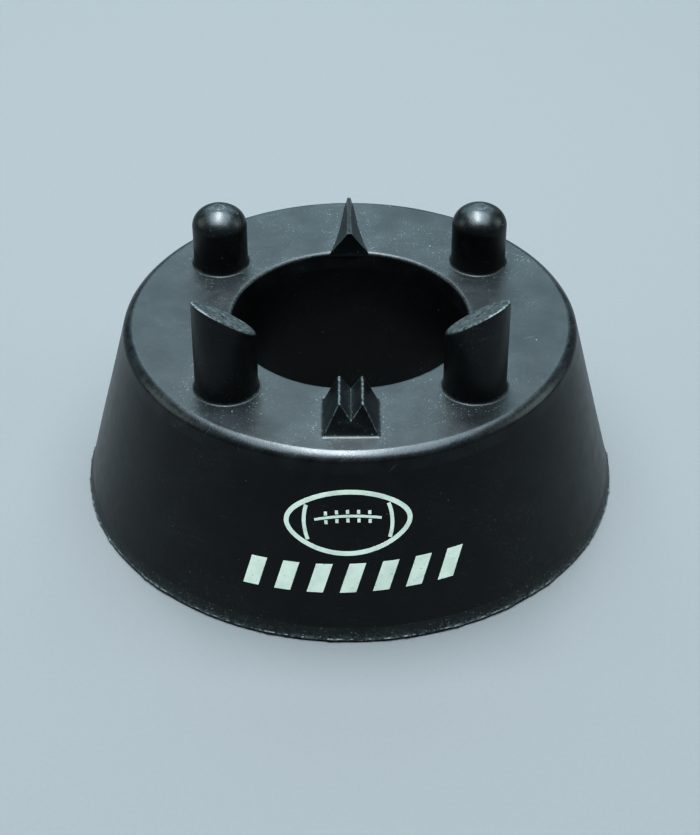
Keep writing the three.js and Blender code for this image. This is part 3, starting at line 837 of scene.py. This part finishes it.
# %% Cut the notch sight
NOTCH_LAND = 0.5 * MM
NOTCH_SPACING = 6.4 * MM
NOTCH_GROOVE = 4.2 * MM
NOTCH_LEAN = 3.6 * MM
notch_low, notch_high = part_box("notch_sight")
half_width = (notch_high.x - notch_low.x) / 2
rise = notch_high.z - DECK_TOP
foot_width = half_width + SUNK * (half_width - NOTCH_SPACING / 2) / rise
inner = (NOTCH_SPACING - NOTCH_LAND) / 2
outer = (NOTCH_SPACING + NOTCH_LAND) / 2
notch_section = densely([(-foot_width, -SUNK), (foot_width, -SUNK), (outer, rise), (inner, rise),
                         (0, rise - NOTCH_GROOVE), (-inner, rise), (-outer, rise)], 0.6)
front = [(x, notch_low.y + NOTCH_LEAN * z / rise, DECK_TOP + z) for x, z in notch_section]
back = [(x, notch_high.y, DECK_TOP + z) for x, z in notch_section]
notch = skin_between("notch_sight_moulding", front, back, 22, sight_rubber)
soften(notch, EDGE_ROUND)
flare_foot(notch, DECK_TOP, SIGHT_FILLET)
rub_edges(notch, 0.5, DECK_TOP + 1 * MM)
heights = places(notch)[:, 2] - DECK_TOP
across = np.abs(places(notch)[:, 0])
in_groove = np.exp(-across / (0.7 * MM)) * (heights > 1 * MM)
paint(notch, "crevice", np.maximum(0.9 * in_groove, np.exp(-np.maximum(heights, 0) / (1.2 * MM))))
hand_over(notch, "sight_rubber", "notch_sight", sharp_angle=50)

# %% Raise the ridge sight
RIDGE_LAND = 1.1 * MM
RIDGE_TIP_WIDTH = 2.2 * MM
RIDGE_TIP_RISE = 2.6 * MM
RIDGE_SUNK = 1.3 * MM
RIDGE_WAIST = 0.17
ridge_low, ridge_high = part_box("ridge_sight")


def ridge_section(width, height, y_at):
    """The ridge's outline, carried straight down past the round of the lip. y_at gives its place along Y."""
    half, land = width / 2, RIDGE_LAND / 2
    corners = [(-half, -RIDGE_SUNK), (half, -RIDGE_SUNK), (half, 0),
               (land, height), (-land, height), (-half, 0)]
    points = []
    for start, end in zip(corners, corners[1:] + corners[:1]):
        points += [tuple(Vector(start).lerp(Vector(end), i / 9)) for i in range(9)]
    return [(x, y_at(x), DECK_TOP + z) for x, z in points]


tall_end = ridge_section(ridge_high.x - ridge_low.x, ridge_high.z - DECK_TOP,
                         lambda x: math.sqrt(throat_radius(DECK_TOP) ** 2 - x ** 2))
tip_end = ridge_section(RIDGE_TIP_WIDTH, RIDGE_TIP_RISE, lambda x: ridge_high.y)
ridge = skin_between("ridge_sight_moulding", tall_end, tip_end, 36, sight_rubber)
soften(ridge, EDGE_ROUND)
spots = places(ridge)
along = (spots[:, 1] - ridge_low.y) / (ridge_high.y - ridge_low.y)
spots[:, 0] *= 1 - RIDGE_WAIST * np.sin(math.pi * np.clip(along, 0, 1))
move_points(ridge, spots)
flare_foot(ridge, DECK_TOP, 0.5 * SIGHT_FILLET, start_y=ridge_low.y + 0.8 * MM)
rub_edges(ridge, 0.5, DECK_TOP + 1 * MM)
spots = places(ridge)
heights = spots[:, 2] - DECK_TOP
on_deck = spots[:, 1] > ridge_low.y + 0.5 * MM
paint(ridge, "crevice", np.exp(-np.maximum(heights, 0) / (1.5 * MM)) * on_deck)
hand_over(ridge, "sight_rubber", "ridge_sight", sharp_angle=50)

# %% [markdown]
# ## The webs under the deck
# Six upright webs cross the hollow under the deck, one below each peg and each sight, where the ball and
# the boot load it. A web narrows towards its free edge, so that the tee can be pulled out of the mould. Its
# ends run a little way into the walls, as they do in one moulding.

# %% Hang the webs
WEB_DRAFT = 0.5 * MM
WEB_SINK = 0.6 * MM
WEB_ROUND = 1.2 * MM
WEB_HALF = 2 * MM
WEB_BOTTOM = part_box("notch_web")[0].z


def web_outline(half_thickness_top, side):
    """One face of a web along +X, seen square on. side is +1 or -1."""
    heights = np.linspace(WEB_BOTTOM, DECK_UNDERSIDE + WEB_SINK / 2, 20)
    taper = half_thickness_top - WEB_DRAFT * (heights[-1] - heights) / (heights[-1] - heights[0])
    inner_edge = [(throat_radius(z) + THROAT_WALL - WEB_SINK, side * t, z) for z, t in zip(heights, taper)]
    outer_edge = [(skirt_radius(z) - SKIRT_WALL + WEB_SINK, side * t, z) for z, t in zip(heights, taper)]
    return inner_edge + outer_edge[::-1]


webs = {"notch_web": -math.pi / 2, "ridge_web": math.pi / 2}
for name in PEGS:
    x, y = middle(name)
    webs[name.replace("peg", "web")] = math.atan2(y, x)
for name, turn in webs.items():
    web = skin_between(name + "_moulding", web_outline(WEB_HALF, -1), web_outline(WEB_HALF, 1), 4, web_rubber)
    soften(web, WEB_ROUND, segments=4)
    paint(web, "crevice", 0.4 + 0 * places(web)[:, 2])
    web.data.transform(Matrix.Rotation(turn, 4, "Z"))
    hand_over(web, "web_rubber", name, sharp_angle=50)

# %% [markdown]
# ## The printed mark
# A pale mark is pad-printed on the near side: a soft rubber pad picks wet ink off an etched plate and rolls
# it onto the cone. The mark here is a plain one, a ball with a seam and laces over a row of slanted bars.
#
# It is drawn flat, in millimetres, as ribbons, and a second tree wraps it round the skirt: the way across
# becomes an angle, and the way up becomes a place on the slope. The same waves bend it, so it stays on the
# surface. Ink is a film of a few hundredths of a millimetre, too thin to show, so it stands 0.05 mm proud.


# %% Mix the ink
def printing_ink():
    """Matt pale ink. Rubber shows through where it is thin or rubbed away, in flecks of half a millimetre."""
    ink = bpy.data.materials.new("pale_pad_printing_ink")
    ink.use_nodes = True
    tree = ink.node_tree
    skin = tree.nodes["Principled BSDF"]
    skin.inputs["IOR"].default_value = 1.5
    place = node(tree, "ShaderNodeTexCoord").outputs["Object"]
    thin = clouds(tree, place, 5, 0.35, 0.75, 201)
    flecks = clouds(tree, place, 0.6, 0.66, 0.74, 202, detail=2.0)
    full = node(tree, "ShaderNodeMix", {"Factor": thin, 6: srgb("#D6DECF"), 7: srgb("#C2CCBE")},
                data_type="RGBA")
    bare = node(tree, "ShaderNodeMath", {0: flecks, 1: 0.6}, operation="MULTIPLY")
    colour = node(tree, "ShaderNodeMix", {"Factor": bare, 6: full.outputs[2], 7: srgb("#2A3230")},
                  data_type="RGBA")
    tree.links.new(colour.outputs[2], skin.inputs["Base Color"])
    matt = node(tree, "ShaderNodeMapRange", {"Value": thin, "To Min": 0.42, "To Max": 0.55})
    tree.links.new(matt.outputs[0], skin.inputs["Roughness"])
    weave = node(tree, "ShaderNodeTexNoise", {"Vector": place, "Scale": 1000 / 0.4, "Detail": 2.0})
    bump = node(tree, "ShaderNodeBump", {"Strength": 0.12, "Distance": 0.2 * MM, "Height": weave})
    tree.links.new(bump.outputs["Normal"], skin.inputs["Normal"])
    return ink


def wrapping_tree():
    """Wraps flat artwork round a cone. X is the way round, Y the way up the slope and Z the height off it."""
    tree = new_tree("wrap_on_a_cone", foot_radius=BASE_RADIUS, lean=SKIRT_LEAN, wave_height=WAVE_HEIGHT,
                    wave_length=WAVE_LENGTH)
    given = node(tree, "NodeGroupInput")
    flat = node(tree, "ShaderNodeSeparateXYZ", {0: node(tree, "GeometryNodeInputPosition")})
    sine = node(tree, "ShaderNodeMath", {0: given.outputs["lean"]}, operation="SINE")
    cosine = node(tree, "ShaderNodeMath", {0: given.outputs["lean"]}, operation="COSINE")
    narrowing = node(tree, "ShaderNodeMath", {0: flat.outputs["Y"], 1: sine}, operation="MULTIPLY")
    on_cone = node(tree, "ShaderNodeMath", {0: given.outputs["foot_radius"], 1: narrowing},
                   operation="SUBTRACT")
    radius = node(tree, "ShaderNodeMath", {0: flat.outputs["Z"], 1: cosine, 2: on_cone},
                  operation="MULTIPLY_ADD")
    climb = node(tree, "ShaderNodeMath", {0: flat.outputs["Y"], 1: cosine}, operation="MULTIPLY")
    height = node(tree, "ShaderNodeMath", {0: flat.outputs["Z"], 1: sine, 2: climb}, operation="MULTIPLY_ADD")
    angle = node(tree, "ShaderNodeMath", {0: flat.outputs["X"], 1: on_cone}, operation="DIVIDE")
    straight = node(tree, "ShaderNodeMath", {0: 0.0, 1: radius}, operation="SUBTRACT")
    point = node(tree, "ShaderNodeCombineXYZ", {"X": 0.0, "Y": straight, "Z": height})
    wrapped = node(tree, "ShaderNodeVectorRotate", {"Vector": point, "Angle": angle}, rotation_type="Z_AXIS")
    waves = moulded_waves(tree, wrapped, given)
    shaped = node(tree, "GeometryNodeSetPosition",
                  {"Geometry": given.outputs["Geometry"], "Position": wrapped, "Offset": waves})
    close_tree(tree, shaped, given)
    return tree


# %% Draw the artwork
INK_PROUD = 0.05 * MM
INK_SUNK = 0.15 * MM
BALL_LENGTH = 34 * MM
BALL_WIDTH = 18.5 * MM
BALL_PLACE = (-0.3 * MM, 37.0 * MM)
BARS_PLACE = (0.4 * MM, 20.2 * MM)
PRINT_TILT = math.radians(2)
POINTED_ENDS = 0.14
SEAM_RISE = 0.10
SEAM_BEND = 0.12
SEAM_REACH = 0.54


def ribbon(art, path, width, slant=None):
    """Adds a solid ribbon of a width along a flat path. Its ends are square, or slanted."""
    path = np.asarray(path)
    along = np.gradient(path, axis=0)
    if np.allclose(path[0], path[-1]):
        along[0] = along[-1] = path[1] - path[-2]
    sideways = np.stack([-along[:, 1], along[:, 0]], 1) / np.linalg.norm(along, axis=1)[:, None]
    if slant is not None:
        sideways[:] = (slant, 1)
    offsets = ((-1, -INK_SUNK), (1, -INK_SUNK), (1, INK_PROUD), (-1, INK_PROUD))
    rings = []
    for place, side in zip(path, sideways):
        corners = [place + side * width / 2 * way for way, z in offsets]
        rings.append([art.verts.new((*corner, z)) for corner, (way, z) in zip(corners, offsets)])
    for near, far in zip(rings, rings[1:]):
        for i in range(4):
            art.faces.new((near[i - 1], near[i], far[i], far[i - 1]))
    if not np.allclose(path[0], path[-1]):
        art.faces.new(rings[0])
        art.faces.new(rings[-1])


art = bmesh.new()
turns = np.linspace(0, 2 * math.pi, 97)
half_length = BALL_LENGTH / 2
half_girth = BALL_WIDTH / 2
girth = half_girth * np.sin(turns) * (1 - POINTED_ENDS * np.cos(turns) ** 2)
ball = np.stack([half_length * np.cos(turns), girth], 1)
ribbon(art, ball, 1.4 * MM)
bmesh.ops.remove_doubles(art, verts=art.verts, dist=0.01 * MM)  # the two ends of the outline become one
for side in (-1, 1):
    reach = np.linspace(-1, 1, 17)
    band = np.stack([side * (0.66 + 0.05 * (1 - reach ** 2)) * half_length, reach * 0.56 * half_girth], 1)
    ribbon(art, band, 1.1 * MM)
across = np.linspace(-1, 1, 33)
seam_height = (SEAM_RISE + SEAM_BEND * (1 - across ** 2)) * half_girth
seam = np.stack([across * SEAM_REACH * half_length, seam_height], 1)
ribbon(art, seam, 0.8 * MM)
for lace in range(-2, 3):
    x = lace * 3 * MM
    middle_height = (SEAM_RISE + SEAM_BEND * (1 - (x / (SEAM_REACH * half_length)) ** 2)) * half_girth
    for way in (-1, 1):
        ribbon(art, [(x, middle_height + way * 0.7 * MM), (x, middle_height + way * 1.9 * MM)], 0.9 * MM)
bmesh.ops.translate(art, vec=(*BALL_PLACE, 0), verts=art.verts)

BARS = 7
BAR_PITCH = 9.2 * MM
BAR_WIDTH = 4.6 * MM
BAR_HEIGHT = 8.8 * MM
BAR_SLANT = 0.35
for bar in range(BARS):
    start = BARS_PLACE[0] + (bar - (BARS - 1) / 2) * BAR_PITCH - BAR_WIDTH / 2
    ribbon(art, [(start + BAR_WIDTH * i / 5, BARS_PLACE[1]) for i in range(6)], BAR_HEIGHT, BAR_SLANT)
bmesh.ops.rotate(art, cent=(0, BARS_PLACE[1], 0), matrix=Matrix.Rotation(PRINT_TILT, 3, "Z"), verts=art.verts)
bmesh.ops.recalc_face_normals(art, faces=art.faces)
flat_art = bpy.data.meshes.new("flat_artwork")
art.to_mesh(flat_art)
art.free()
mark = grow("printed_mark", flat_art, wrapping_tree(), printing_ink())
hand_over(mark, "print_ink")
